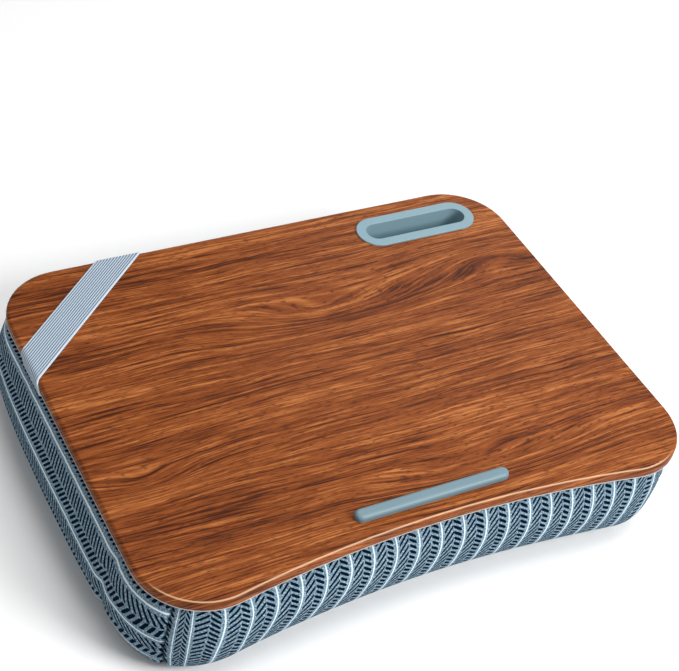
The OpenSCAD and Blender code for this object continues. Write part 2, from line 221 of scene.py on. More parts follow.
class Graph:
    """The nodes of one material round a Principled shader."""

    def __init__(self, name, **settings):
        self.material = bpy.data.materials.new(name)
        self.material.use_nodes = True
        self.tree = self.material.node_tree
        self.tree.nodes.clear()
        self.shader = self.tree.nodes.new("ShaderNodeBsdfPrincipled")
        output = self.tree.nodes.new("ShaderNodeOutputMaterial")
        self.tree.links.new(self.shader.outputs[0], output.inputs[0])
        for socket, value in settings.items():
            self.shader.inputs[socket.replace("_", " ")].default_value = value

    def feed(self, socket, value):
        """Links a value of the graph to a socket, or sets a constant on it."""
        if isinstance(value, Value):
            self.tree.links.new(value.socket, socket)
        else:
            socket.default_value = value

    def node(self, kind, output, inputs=None, **settings):
        """A new node with its settings and what feeds its inputs; returns one output."""
        made = self.tree.nodes.new(kind)
        for key, value in settings.items():
            setattr(made, key, value)
        for key, value in (inputs or {}).items():
            self.feed(made.inputs[key], value)
        return Value(self, made.outputs[output])

    def calc(self, operation, a, b=0.0):
        """One of Blender's math operations, on one or two numbers."""
        return self.node("ShaderNodeMath", 0, {0: a, 1: b}, operation=operation)

    def fraction(self, a):
        return self.calc("FRACT", a)

    def least(self, a, b):
        return self.calc("MINIMUM", a, b)

    def most(self, a, b):
        return self.calc("MAXIMUM", a, b)

    def step(self, a, low, high):
        """0 below low, 1 above high, and smooth between; low may be above high."""
        return self.node("ShaderNodeMapRange", 0, {"Value": a, "From Min": low, "From Max": high},
                         interpolation_type="SMOOTHSTEP")

    def vector(self, x, y, z=0.0):
        return self.node("ShaderNodeCombineXYZ", 0, {0: x, 1: y, 2: z})

    def split(self, vector):
        made = self.tree.nodes.new("ShaderNodeSeparateXYZ")
        self.feed(made.inputs[0], vector)
        return [Value(self, out) for out in made.outputs]

    def place(self):
        """Place on the object, in metres."""
        return self.node("ShaderNodeTexCoord", "Object")

    def uv(self, name):
        return self.node("ShaderNodeUVMap", 0, uv_map=name)

    def noise(self, vector, scale, detail, roughness):
        return self.node("ShaderNodeTexNoise", 0, {
            "Vector": vector, "Scale": scale, "Detail": detail, "Roughness": roughness})

    def mix(self, share, a, b):
        """Colour a where the share is 0, and b where it is 1."""
        made = self.tree.nodes.new("ShaderNodeMix")
        made.data_type = "RGBA"
        for key, value in ((0, share), (6, a), (7, b)):
            self.feed(made.inputs[key], value)
        return Value(self, made.outputs[2])

    def colour(self, value):
        self.feed(self.shader.inputs["Base Color"], value)

    def rough(self, value):
        self.feed(self.shader.inputs["Roughness"], value)

    def bump(self, height, distance):
        """Relief of a height from 0 to 1, at so many metres."""
        self.feed(self.shader.inputs["Normal"], self.node(
            "ShaderNodeBump", 0, {"Height": height, "Distance": distance, "Strength": 1.0}))


def shade(colour, factor):
    """A colour made darker or lighter by a factor."""
    return tuple(min(1.0, c * factor) for c in tuple(colour)[:3]) + (1.0,)


def dress(node, material):
    """Gives a CAD node its finish."""
    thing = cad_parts[node]
    for slot in thing.material_slots:
        slot.material = material
    if not thing.material_slots:
        thing.data.materials.append(material)


# Wood figures: place of the middle, length and width, and how far each bows the grain
WOOD_FIGURES = [
    (-0.186, -0.058, 0.040, 0.012, 0.011),
    (0.188, 0.078, 0.055, 0.016, -0.013),
    (0.060, -0.125, 0.120, 0.016, 0.012),
    (0.020, 0.060, 0.090, 0.020, 0.022),
]
GRAIN_DRIFT = 0.030      # how far the grain wanders across the board
# A pale highlight is painted on the rounding of the front edge. It fades in between these places in y, and
# fades out towards the right corner between those in x.
HIGHLIGHT_Y = (-0.135, -0.152)
HIGHLIGHT_X = (0.205, 0.180)
# Depths below the board's top at which the shine of the rounded edge starts and ends
EDGE_IN = (0.05 * MM, 0.20 * MM)
EDGE_OUT = (0.75 * MM, 0.40 * MM)


def wood_material(colours):
    """Straight walnut grain along x, bowed round a few figures, with fine pores and a painted highlight on
    the front edge.
    """
    g = Graph("walnut_film", Specular_IOR_Level=0.10, Coat_Weight=0.05, Coat_Roughness=0.16)
    x, y, z = g.split(g.place())
    across = y + z * 0.8
    drift = g.noise(g.vector(x * 2.6, across * 9.0, z), 1.0, 3.0, 0.55)
    across = across + (drift - 0.5) * GRAIN_DRIFT
    for knot_x, knot_y, long, wide, rise in WOOD_FIGURES:
        far_x = (x - knot_x) / long
        far_y = (y - knot_y) / wide
        hill = g.calc("EXPONENT", -(far_x * far_x + far_y * far_y))
        across = across + hill * rise
    # Grain from broad to fine, each stretched along x by the ratio of its two scales
    bands = g.noise(g.vector(x * 1.8, across * 42.0, 0.0), 1.0, 3.0, 0.55)
    streaks = g.noise(g.vector(x * 7.0, across * 330.0, 3.1), 1.0, 3.0, 0.6)
    threads = g.noise(g.vector(x * 30.0, across * 800.0, 7.7), 1.0, 2.0, 0.6)
    rings = abs(g.noise(g.vector(x * 1.4, across * 95.0, 5.2), 1.0, 1.0, 0.5) - 0.5)
    tone = 0.5 + (bands - 0.5) * 0.9 + (streaks - 0.5) * 1.2 + (threads - 0.5) * 1.5
    tone = tone - g.step(rings, 0.03, 0.0) * 0.16
    ground = g.mix(g.step(tone, 0.54, 0.02), colours.wood_mid, colours.wood_dark)
    ground = g.mix(g.step(tone, 0.46, 1.02), ground, colours.wood_light)
    pores = g.noise(g.vector(x * 150.0, across * 1100.0, 1.3), 1.0, 1.0, 0.5)
    pits = g.step(pores, 0.56, 0.70)
    grain = g.mix(pits * 0.6, ground, colours.wood_dark)
    fallen = BOARD_TOP - z
    rounded = g.step(fallen, *EDGE_IN) * g.step(fallen, *EDGE_OUT)
    edge_highlight = rounded * g.step(y, *HIGHLIGHT_Y) * g.step(x, *HIGHLIGHT_X)
    # The front edge's rounding gets a pale cream painted highlight
    g.colour(g.mix(edge_highlight * 0.5, grain, colours.wood_edge_highlight))
    g.rough(0.36 + streaks * 0.16 + pits * 0.15 - rounded * 0.2)
    g.bump(threads * 0.5 - pits, 0.05 * MM)
    return g.material


def fibreboard_material(colours):
    g = Graph("fibreboard", Roughness=0.85)
    chips = g.noise(g.place(), 900.0, 3.0, 0.7)
    g.colour(g.mix(chips, shade(colours.fibreboard, 0.65), shade(colours.fibreboard, 1.3)))
    g.bump(chips, 0.3 * MM)
    return g.material


def backing_material(colours):
    g = Graph("backing_paper", Roughness=0.6)
    fibres = g.noise(g.place(), 600.0, 4.0, 0.6)
    g.colour(g.mix(fibres, shade(colours.backing, 0.9), shade(colours.backing, 1.08)))
    g.bump(fibres, 0.05 * MM)
    return g.material


def plastic_material(name, colour):
    g = Graph(name, Specular_IOR_Level=0.3)
    grain = g.noise(g.place(), 2600.0, 2.0, 0.5)
    cloud = g.noise(g.place(), 28.0, 2.0, 0.5)
    g.colour(g.mix(cloud, shade(colour, 0.93), shade(colour, 1.07)))
    g.rough(0.38 + cloud * 0.10)
    g.bump(grain, 0.03 * MM)
    return g.material


def steel_material(colours):
    g = Graph("zinc_steel", Metallic=1.0, Roughness=0.34)
    x, y, z = g.split(g.place())
    drawn = g.noise(g.vector(x * 400.0, y * 400.0, z * 4000.0), 1.0, 2.0, 0.5)
    g.colour(g.mix(drawn, shade(colours.steel, 0.8), shade(colours.steel, 1.15)))
    g.rough(0.28 + drawn * 0.14)
    return g.material


def felt_material(colours):
    g = Graph("felt", Roughness=0.95, Sheen_Weight=0.4, Sheen_Roughness=0.5)
    fuzz = g.noise(g.place(), 1500.0, 4.0, 0.75)
    g.colour(g.mix(fuzz, shade(colours.felt, 0.5), shade(colours.felt, 1.8)))
    g.bump(fuzz, 0.4 * MM)
    return g.material


def weave(g, u, v, threads):
    """Height of a plain weave with so many threads a metre, from 0 to 1."""
    over = g.calc("SINE", u * (math.pi * threads))
    under = g.calc("SINE", v * (math.pi * threads))
    check = g.step(over * under, -0.4, 0.4)
    return abs(over) * check + abs(under) * (1.0 - check)


def lining_material(colours):
    g = Graph("lining_cloth", Roughness=0.9)
    x, y, z = g.split(g.place())
    threads = weave(g, x + z, y + z, 1600.0)
    # Painted shade in the gaps between the threads and painted light on their tops
    g.colour(g.mix(threads, shade(colours.lining, 0.7), shade(colours.lining, 1.2)))
    g.bump(threads, 0.1 * MM)
    return g.material


def bead_material(colours):
    g = Graph("foam_beads", Roughness=0.7)
    cells = g.node("ShaderNodeTexVoronoi", "Distance", {"Vector": g.place(), "Scale": 320.0})
    round_top = g.step(cells, 0.75, 0.0)
    # The gaps between the beads are painted darker: painted shade between them
    g.colour(g.mix(round_top, shade(colours.beads, 0.45), colours.beads))
    g.bump(round_top, 1.2 * MM)
    return g.material


# Columns of the print in each repeat: left and right border, lean in degrees from level
# and thickness of their dashes
FINE_COLUMN = (2.0 * MM, 9.8 * MM, 43.0, 1.5 * MM)
BOLD_COLUMN = (10.0 * MM, 16.4 * MM, -30.0, 2.2 * MM)
INK_SOFT = 0.16 * MM     # half the width of the ink's soft border
STRIPE_SOFT = 0.15 * MM  # half the width of a stripe's soft border
COLUMN_SHIFT = 2.1 * MM  # most that the dashes of a repeat are shifted lengthwise
THREADS = 1250.0         # threads of the cloth in a metre


def dashes(g, u, v, skew, column, pitch, seed):
    """Printed column of slanting dashes, 1 on the ink. The skew has moved the column
    sideways without turning its dashes. The seed varies the dashes' ends."""
    left, right, lean, thick = column
    slope = math.tan(math.radians(lean))
    laid = (v - (u - skew - left) * slope) / pitch
    count = g.calc("FLOOR", laid)
    luck = g.node("ShaderNodeTexWhiteNoise", "Value", {"Vector": g.vector(count, seed)},
                  noise_dimensions="2D")
    from_middle = abs(g.fraction(laid) - 0.5) * (pitch * math.cos(math.radians(lean)))
    inside = g.least(u - left - (luck - 0.5) * (0.8 * MM), right - u - (luck - 0.5) * (0.7 * MM))
    end = g.most(thick * 0.6 - inside, 0.0) * 0.9
    reach = g.calc("SQRT", from_middle * from_middle + end * end)
    ink = g.step(reach, thick * 0.5 + INK_SOFT, thick * 0.5 - INK_SOFT)
    return ink * g.step(inside, -INK_SOFT, INK_SOFT)


def cloth_material(colours, prints):
    """Herringbone stripes along v, which repeat across u, on a plain weave."""
    g = Graph("printed_cloth", Roughness=0.9, Specular_IOR_Level=0.03)
    uv = g.uv("cloth")
    u, v, _ = g.split(uv)
    skew = g.node("ShaderNodeAttribute", "Fac", attribute_name="skew")
    seam = g.node("ShaderNodeAttribute", "Fac", attribute_name="seam")

    # The print's lines are a little uneven, as if drawn by hand
    shake = g.noise(uv, 420.0, 2.0, 0.5) - 0.5
    sway = g.noise(uv, 60.0, 1.0, 0.5) - 0.5
    u_hand = u + skew + shake * (0.45 * MM) + sway * (0.5 * MM)
    v_hand = v + (g.noise(uv, 300.0, 2.0, 0.5) - 0.5) * (0.5 * MM)

    repeat = prints.repeat
    cell = g.calc("FLOOR", u_hand / repeat)
    inside = g.fraction(u_hand / repeat) * repeat
    shifted = v_hand + g.calc("SINE", cell * 7.3) * COLUMN_SHIFT
    fine = dashes(g, inside, shifted, skew, FINE_COLUMN, prints.fine_pitch, cell)
    bold = dashes(g, inside, shifted, skew, BOLD_COLUMN, prints.bold_pitch, cell + 31.0)
    ink = g.most(fine, bold)
    from_stripe = g.least(inside, repeat - inside)
    half = prints.stripe * 0.5
    stripe = g.step(from_stripe, half + STRIPE_SOFT, half - STRIPE_SOFT)

    threads = weave(g, u, v, THREADS)
    cloud = g.noise(uv, 90.0, 3.0, 0.6)
    ground = g.mix(cloud, shade(colours.cloth_ground, 0.88), shade(colours.cloth_ground, 1.12))
    # Painted shade darkens the gaps between the threads towards navy
    ground = g.mix(threads, g.mix(0.35, ground, colours.cloth_navy), ground)
    flecks = g.noise(uv, 900.0, 1.0, 0.5)
    ground = g.mix(g.step(flecks, 0.52, 0.66) * 0.4, ground, colours.cloth_white)
    ground = g.mix(g.step(flecks, 0.46, 0.34) * 0.4, ground, colours.cloth_navy)
    printed = g.mix(stripe, ground, colours.cloth_white)
    printed = g.mix(ink, printed, colours.cloth_navy)
    # Painted shade darkens the cloth along the seams' grooves
    g.colour(g.mix(seam * 0.8, printed, colours.cloth_navy))
    g.bump(threads, 0.08 * MM)
    return g.material


PICK_PITCH = 0.75 * MM   # distance between the strap's crosswise threads


def webbing_material(colours, ribs):
    """Ribs lengthwise with dark gaps, crossed by fine picks, and a pale border."""
    g = Graph("elastic_webbing", Roughness=0.62, Sheen_Weight=0.15, Sheen_Roughness=0.4)
    across, along, _ = g.split(g.uv("webbing"))
    rib = abs(g.calc("SINE", across * (math.pi * ribs)))
    pick = abs(g.calc("SINE", along * (math.pi / PICK_PITCH)))
    edge = g.least(across, 1.0 - across)
    ribbed = g.mix(g.step(rib, 0.52, 0.98), colours.webbing_gap, colours.webbing)
    lit = g.mix(pick * 0.22, ribbed, shade(colours.webbing, 1.5))
    g.colour(g.mix(g.step(edge, 0.024, 0.010), lit, shade(colours.webbing, 1.2)))
    g.bump(pick * g.step(rib, 0.1, 0.6), 0.12 * MM)
    return g.material


# Outline of the board and profile of the cushion

def arc(centre, radius, start, end):
    """Points of an arc and their outward directions, about a millimetre apart."""
    steps = max(8, int(abs(math.radians(end - start)) * radius / MM))
    angles = np.radians(np.linspace(start, end, steps + 1))
    out = np.column_stack([np.cos(angles), np.sin(angles)])
    return np.array(centre) + radius * out, out


def resample(points, others, count):
    """Points and what goes with them, at equal distances along the points' line."""
    far = np.concatenate([[0.0], np.cumsum(np.linalg.norm(np.diff(points, axis=0), axis=1))])
    keep = np.concatenate([[True], np.diff(far) > TINY])
    at = np.linspace(0.0, far[-1], count + 1)
    even = [np.column_stack([np.interp(at, far[keep], a[keep, k]) for k in range(a.shape[1])])
            for a in (points, others)]
    even[1] /= np.maximum(np.linalg.norm(even[1], axis=1, keepdims=True), TINY)
    return even


def outline_runs(sizes, wide, deep):
    """Front, rear, left and right runs of the board's outline between the corner seams.
    Front and rear run from left to right, and left and right from front to rear."""
    r = sizes.corner_radius
    # Places of the corners' middles, and the arc of the scoop that runs into their arcs
    ax, ay = HALF_W - r, HALF_D - r
    rise = r - sizes.scoop
    scoop_r = (ax ** 2 + rise ** 2 - r ** 2) / (2 * sizes.scoop)
    scoop_y = sizes.scoop - HALF_D - scoop_r
    open_angle = math.degrees(math.acos(ax / (scoop_r + r)))

    def joined(*parts):
        return np.concatenate([p for p, _ in parts]), np.concatenate([o for _, o in parts])

    scoop_points, scoop_out = arc((0.0, scoop_y), scoop_r, 180 - open_angle, open_angle)
    front = joined(arc((-ax, -ay), r, 225, 360 - open_angle), (scoop_points, -scoop_out),
                   arc((ax, -ay), r, open_angle - 180, -45))
    rear = joined(arc((-ax, ay), r, 135, 90), arc((ax, ay), r, 90, 45))
    left = joined(arc((-ax, -ay), r, 225, 180), arc((-ax, ay), r, 180, 135))
    right = joined(arc((ax, -ay), r, -45, 0), arc((ax, ay), r, 0, 45))
    return {"front": resample(*front, wide), "rear": resample(*rear, wide),
            "left": resample(*left, deep), "right": resample(*right, deep)}


# Form of the cushion's wall: roundness of its foot, how late it draws in towards the
# board, the belly's share of its height, and how a side's swelling fades up the wall
# and towards its corners
ROUNDNESS = 0.91
TOP_FALL = 2.2
BELLY = 0.52
PUFF_RISE = 0.6
PUFF_FALL = 2.5
CURVE_STEPS = 60
# The wall ends and its swelling ends so far below the board
WALL_GAP = 1.0 * MM
PUFF_GAP = 1.5 * MM
# Turned-in lip: distance below the board, and how much further in than the tuck
LIP = ((0.5 * MM, 1.6 * MM), (0.3 * MM, 4.0 * MM))


def wall_levels(sizes, count):
    """Height, outward reach and share of the roll, from the ground to the board."""
    wall = UNDERSIDE - WALL_GAP
    belly = BELLY * wall
    a = np.radians(np.linspace(90, 0, CURVE_STEPS + 1))
    turn = 1 - np.cos(a) ** ROUNDNESS
    foot_reach = sizes.crown - (sizes.crown + sizes.foot_inset) * turn
    foot = np.column_stack([belly * (1 - np.sin(a) ** ROUNDNESS), foot_reach, turn])
    u = np.linspace(0, 1, CURVE_STEPS + 1)[1:]
    top_reach = sizes.crown - (sizes.crown + sizes.tuck) * u ** TOP_FALL
    top = np.column_stack([belly + (wall - belly) * u, top_reach, 0 * u])
    lip = np.array([[UNDERSIDE - gap, -sizes.tuck - further, 0] for gap, further in LIP])
    line = np.concatenate([foot, top, lip])
    step = np.diff(line, axis=0) * (1.0, 1.0, sizes.rear_roll)
    far = np.concatenate([[0.0], np.cumsum(np.linalg.norm(step, axis=1))])
    at = np.linspace(0.0, far[-1], count + 1)
    return np.column_stack([np.interp(at, far, line[:, k]) for k in range(3)])


def by_side(points, out, side, rear, front):
    """Each side's share of a swelling or a roll: full at its middle, none at its corners."""
    deep = np.clip(1 - (np.abs(points[:, 1]) / HALF_D) ** PUFF_FALL, 0, None)
    wide = np.clip(1 - (np.abs(points[:, 0]) / HALF_W) ** PUFF_FALL, 0, None)
    ends = rear * np.clip(out[:, 1], 0, None) + front * np.clip(-out[:, 1], 0, None)
    return side * np.abs(out[:, 0]) * deep + ends * wide


def wall_grid(sizes, run, levels):
    """Points of a wall, one row for each level from the ground up."""
    points, out = run
    puff = by_side(points, out, sizes.side_crown, sizes.rear_crown, sizes.front_crown)
    roll = by_side(points, out, 0.0, sizes.rear_roll, sizes.front_roll)
    rows = []
    for height, reach, turn in levels:
        up = min(1.0, height / (UNDERSIDE - PUFF_GAP))
        share = max(0.0, math.sin(math.pi * up)) ** PUFF_RISE
        far = reach + share * puff - turn * roll
        rows.append(np.column_stack([points + out * far[:, None], np.full(len(points), height)]))
    return np.array(rows)


def patch(first, last, left, right):
    """Grid that fills four border lines; first and last run from left to right."""
    rows, cols = len(left), len(first)
    s = np.linspace(0, 1, cols)[None, :, None]
    t = np.linspace(0, 1, rows)[:, None, None]
    ruled = (1 - t) * first[None] + t * last[None] + (1 - s) * left[:, None] + s * right[:, None]
    from_first = (1 - s) * first[0] + s * first[-1]
    from_last = (1 - s) * last[0] + s * last[-1]
    return ruled - ((1 - t) * from_first + t * from_last)


# Squares of the cushion's grid along its front, along its side and up its wall
GRID_WIDE = 92
GRID_DEEP = 64
GRID_HIGH = 22


class CushionGrid:
    """The closed cushion as one list of points, and the grids of indices into it."""

    def __init__(self, sizes):
        runs = outline_runs(sizes, GRID_WIDE, GRID_DEEP)
        levels = wall_levels(sizes, GRID_HIGH)
        walls = {side: wall_grid(sizes, run, levels) for side, run in runs.items()}
        self.points = np.zeros((0, 3))
        base = patch(walls["front"][0], walls["rear"][0], walls["left"][0], walls["right"][0])
        self.wrap = self.add(np.concatenate([walls["front"][::-1], base[1:-1], walls["rear"]]))
        self.left = self.side(walls["left"], self.wrap[:, 0])
        self.right = self.side(walls["right"], self.wrap[:, -1])
        lid = patch(walls["front"][-1], walls["rear"][-1], walls["left"][-1], walls["right"][-1])
        self.lid = np.zeros(lid.shape[:2], int)
        self.lid[0], self.lid[-1] = self.wrap[0], self.wrap[-1]
        self.lid[:, 0], self.lid[:, -1] = self.left[:, -1], self.right[:, -1]
        self.lid[1:-1, 1:-1] = self.add(lid[1:-1, 1:-1])

    def add(self, grid):
        """Adds the points of a grid, and returns their indices in the same form."""
        start = len(self.points)
        self.points = np.concatenate([self.points, grid.reshape(-1, 3)])
        return np.arange(start, len(self.points)).reshape(grid.shape[:2])

    def side(self, wall, column):
        """Indices of a side wall as [front to rear, ground to top]. The column is the wrap's
        border on that side, from the front's top down, under and up the rear."""
        foot, heel = GRID_HIGH, GRID_HIGH + GRID_DEEP
        grid = np.zeros((GRID_DEEP + 1, len(wall)), int)
        grid[0] = column[foot::-1]
        grid[-1] = column[heel:]
        grid[:, 0] = column[foot:heel + 1]
        grid[1:-1, 1:] = self.add(np.swapaxes(wall, 0, 1)[1:-1, 1:])
        return grid

    def faces(self):
        """Corners of all squares of the closed cushion, turned outwards."""
        return np.concatenate([grid_quads(self.wrap), grid_quads(self.left[:, ::-1]),
                               grid_quads(self.right), grid_quads(self.lid[:, ::-1])])


def grid_quads(grid):
    """Corners of each square of a grid of indices."""
    return np.stack([grid[:-1, :-1], grid[1:, :-1], grid[1:, 1:], grid[:-1, 1:]], -1).reshape(-1, 4)


def mesh_object(name, points, faces, uv=None, uv_name="cloth"):
    """A mesh of the given points and faces, linked to the scene, with smooth shading."""
    mesh = bpy.data.meshes.new(name)
    mesh.from_pydata([tuple(p) for p in points], [], [tuple(int(k) for k in f) for f in faces])
    mesh.update()
    mesh.polygons.foreach_set("use_smooth", [True] * len(mesh.polygons))
    if uv is not None:
        layer = mesh.uv_layers.new(name=uv_name)
        corner = np.zeros(len(mesh.loops), np.int32)
        mesh.loops.foreach_get("vertex_index", corner)
        layer.data.foreach_set("uv", np.asarray(uv, np.float32)[corner].ravel())
    thing = bpy.data.objects.new(name, mesh)
    bpy.context.scene.collection.objects.link(thing)
    return thing


# The swelling: pressure, room left for it, how far it may leave its form, and frames
PRESSURE = 120.0
SWELL_ROOM = 3 * MM
SWELL_LEEWAY = 2 * MM
SWELL_FRAMES = 20


def add_cloth(body, held):
    """Makes a body a cloth under pressure whose held points don't move."""
    group = body.vertex_groups.new(name="held")
    group.add([int(index) for index in held], 1.0, "REPLACE")
    cloth = body.modifiers.new("swell", "CLOTH")
    settings = cloth.settings
    settings.quality = 5
    settings.mass = 0.05
    settings.tension_stiffness = 12
    settings.compression_stiffness = 8
    settings.shear_stiffness = 5
    settings.bending_stiffness = 0.4
    settings.use_pressure = True
    settings.uniform_pressure_force = PRESSURE
    settings.effector_weights.gravity = 0
    settings.vertex_group_mass = "held"
    cloth.collision_settings.use_collision = False
    cloth.point_cache.frame_start = 1
    cloth.point_cache.frame_end = SWELL_FRAMES


def inflate(grid):
    """Swells the cushion as cloth under pressure, from a form drawn in by the room, and keeps
    it within the leeway of its form. The lid and the flat underside are held."""
    form = grid.points.copy()
    free = np.ones(len(form))
    free[grid.lid.ravel()] = 0.0
    free[grid.wrap[GRID_HIGH:GRID_HIGH + GRID_DEEP + 1].ravel()] = 0.0
    body = mesh_object("cushion_form", form, grid.faces())
    normal = np.zeros(len(form) * 3)
    body.data.vertices.foreach_get("normal", normal)
    normal = normal.reshape(-1, 3)
    middle = np.sin(math.pi * np.clip(form[:, 2] / UNDERSIDE, 0, 1)) * free
    start = form - normal * (SWELL_ROOM * middle)[:, None]
    body.data.vertices.foreach_set("co", start.ravel())
    add_cloth(body, np.nonzero(free == 0)[0])
    scene = bpy.context.scene
    for step in range(1, SWELL_FRAMES + 1):
        scene.frame_set(step)
    shown = body.evaluated_get(bpy.context.evaluated_depsgraph_get())
    swollen = np.zeros(len(form) * 3)
    shown.data.vertices.foreach_get("co", swollen)
    scene.frame_set(1)
    bpy.data.objects.remove(body)
    swell = swollen.reshape(-1, 3) - start
    out = (swell * normal).sum(axis=1)
    # Scaled so that the middle of the walls just fills the room
    fill = SWELL_ROOM / np.median(out[middle > 0.9])
    moved = start + swell * fill - form
    far = np.linalg.norm(moved, axis=1, keepdims=True)
    grid.points = form + moved * np.minimum(1.0, SWELL_LEEWAY / np.maximum(far, TINY))


def stretch_line(values, at):
    """Values along a line, read between its points with a smooth curve."""
    last = len(values) - 1
    k = np.clip(np.floor(at).astype(int), 0, last - 1)
    t = (at - k).reshape((-1,) + (1,) * (values.ndim - 1))
    a, b = values[k], values[k + 1]
    before, after = values[np.maximum(k - 1, 0)], values[np.minimum(k + 2, last)]
    return 0.5 * (2 * a + (b - before) * t + (2 * before - 5 * a + 4 * b - after) * t ** 2
                  + (3 * a - before - 3 * b + after) * t ** 3)


def refine(values, rows_at, cols_at):
    """A grid of values, read at finer rows and columns."""
    finer = np.swapaxes(stretch_line(values, rows_at), 0, 1)
    return np.swapaxes(stretch_line(finer, cols_at), 0, 1)


# Places in the first step of a line where it is read, to show a seam's groove and puckers
CLOSE = np.array([0.0, 0.08, 0.18, 0.32, 0.5, 0.72])


def between_seams(count):
    """Places along a line of so many steps, two to a step, and closer at both ends."""
    inner = np.linspace(1, count - 1, (count - 2) * 2 + 1)
    return np.concatenate([CLOSE, inner, count - CLOSE[::-1]])


def half_steps(start, end):
    """Places from start to end, two to a step."""
    return np.linspace(start, end, 2 * (end - start) + 1)


def normals_of(points):
    """Unit normals of a grid of points."""
    down = np.gradient(points, axis=0)
    along = np.gradient(points, axis=1)
    normal = np.cross(down, along)
    return normal / np.maximum(np.linalg.norm(normal, axis=2, keepdims=True), TINY * MM)


def run_length(points, axis):
    """Distance along each line of a grid from its first point."""
    far = np.linalg.norm(np.diff(points, axis=axis), axis=2)
    zero = np.zeros_like(np.take(far, [0], axis=axis))
    return np.concatenate([zero, np.cumsum(far, axis=axis)], axis=axis)


def cloth_panel(name, points, uv, marks, material, thickness):
    """One panel of the cover, a cloth sheet with its thickness inwards, which stays above the
    ground. Marks are the painted shade along its seams' grooves and how far its print is skewed."""
    points[..., 2] = np.maximum(points[..., 2], 0.0)
    quads = grid_quads(np.arange(points[..., 0].size).reshape(points.shape[:2]))
    thing = mesh_object(name, points.reshape(-1, 3), quads, uv.reshape(-1, 2))
    for key, values in marks.items():
        layer = thing.data.attributes.new(key, "FLOAT", "POINT")
        layer.data.foreach_set("value", values.astype(np.float32).ravel())
    thing.data.materials.append(material)
    solid = thing.modifiers.new("thickness", "SOLIDIFY")
    solid.thickness = thickness
    solid.offset = -1.0
    return thing


# How the print lies on the wrap. The places are distances along the front from its left
# seam, each with the stripe of the print that lies there: the cloth is gathered beside the
# seam and stretched towards the scoop.
STRIPE_PLACES = [
    (0.0, -1.25), (4.5 * MM, -1.0), (12.4 * MM, 0.0), (50.4 * MM, 2.0), (131.4 * MM, 6.0),
    (263.8 * MM, 13.0), (391.0 * MM, 20.0), (430.0 * MM, 22.1),
]
# How far the stripes lean to one side at their foot, at distances along the front
LEAN_PLACES = [
    (10 * MM, 0.0), (50 * MM, 12 * MM), (130 * MM, 12 * MM), (260 * MM, 7 * MM),
]
# The lean starts so far below the board, and is full so much further down
LEAN_START = 11.0 * MM
LEAN_HEIGHT = 45.0 * MM

# How the print lies on the side panels: its first stripe's distance below the board, and
# the print's width over the cloth's, at distances from the front seam
SIDE_PRINT_TOP = 13.0 * MM
SIDE_PLACES = [(30 * MM, 0.73), (110 * MM, 0.87)]


def read_places(far, places):
    """Value at a distance, from a list of distances and values."""
    places = np.array(places)
    return np.interp(far, places[:, 0], places[:, 1])


# Seams: depth and width of the groove, width of the painted shade line in it and how it sways, and
# height, pitch and reach of the puckers beside it
SEAM_DEPTH = 1.5 * MM
SEAM_WIDTH = 2.5 * MM
SEAM_LINE = 1.3 * MM
SWAY = 0.5 * MM
SWAY_PITCH = 6.0 * MM
PUCKER = 0.9 * MM
PUCKER_PITCH = 9.0 * MM
PUCKER_REACH = 3.0 * MM


def seam_dip(points, near, along):
    """Draws a panel in at its seams, with small puckers beside them. Returns the points, and
    how much painted shade lies in the seam's groove at each."""
    pucker = PUCKER * np.sin(along * (2 * math.pi / PUCKER_PITCH) + np.sin(along * 310.0) * 1.5)
    beside = near / PUCKER_REACH * np.exp(1 - near / PUCKER_REACH)
    dip = SEAM_DEPTH * np.exp(-(near / SEAM_WIDTH) ** 2) + pucker * beside
    swayed = near + SWAY * np.sin(along * (2 * math.pi / SWAY_PITCH))
    # Painted shade along the seam's groove
    dark = np.exp(-(swayed / SEAM_LINE) ** 2)
    return points - normals_of(points) * dip[..., None], dark


# Front right corner: how far it is drawn in to the left and to the rear, and how far round
CORNER_LEFT = 11.0 * MM * 0.75
CORNER_REAR = 11.0 * MM * 0.66
CORNER_REACH = 58.0 * MM
# Crease on the left side: its place, depth and width
CREASE_Y = -0.102
CREASE_DEPTH = 2.2 * MM
CREASE_WIDTH = 5.0 * MM


def draw_in(points):
    """Draws the cushion's front right corner in below the board, and creases its left side."""
    far = np.hypot(points[..., 0] - HALF_W, points[..., 1] + HALF_D)
    low = np.clip(1 - np.clip(points[..., 2] / UNDERSIDE, 0, 1) ** 3, 0, 1)
    corner = np.exp(-(far / CORNER_REACH) ** 2) * low
    crease = CREASE_DEPTH * np.exp(-((points[..., 1] - CREASE_Y) / CREASE_WIDTH) ** 2)
    crease = crease * np.clip(-points[..., 0] / HALF_W - 0.8, 0, 0.2) * 5 * low ** 0.5
    moved = points.copy()
    moved[..., 0] += crease - corner * CORNER_LEFT
    moved[..., 1] += corner * CORNER_REAR
    return moved


def wrap_panel(grid, rest, material, sizes, repeat):
    """Panel of the front, underside and rear, its rows running down, under and up."""
    heel, end = GRID_HIGH + GRID_DEEP, 2 * GRID_HIGH + GRID_DEEP
    under = np.linspace(GRID_HIGH, heel, GRID_DEEP + 1)
    rows_at = np.concatenate([half_steps(0, GRID_HIGH), under[1:], half_steps(heel, end)[1:]])
    cols_at = between_seams(GRID_WIDE)
    points = refine(grid.points[grid.wrap], rows_at, cols_at)
    flat = refine(rest[grid.wrap], rows_at, cols_at)
    down = run_length(flat, 0)
    foot = down[2 * GRID_HIGH][None]
    along = run_length(flat[:1], 1)
    far = run_length(flat, 1)
    points, seam = seam_dip(points, np.minimum(far, far[:, -1:] - far), down)
    from_board = np.minimum(down, down[-1:] - down)
    below = np.clip((from_board - LEAN_START) / LEAN_HEIGHT, 0, 1)
    skew = read_places(along, LEAN_PLACES) * below * below * (3 - 2 * below)
    across = np.broadcast_to(read_places(along, STRIPE_PLACES) * repeat, down.shape)
    uv = np.stack([across, foot - down], -1)
    return cloth_panel("cover_wrap", points, uv, {"seam": seam, "skew": skew}, material,
                       sizes.cloth)


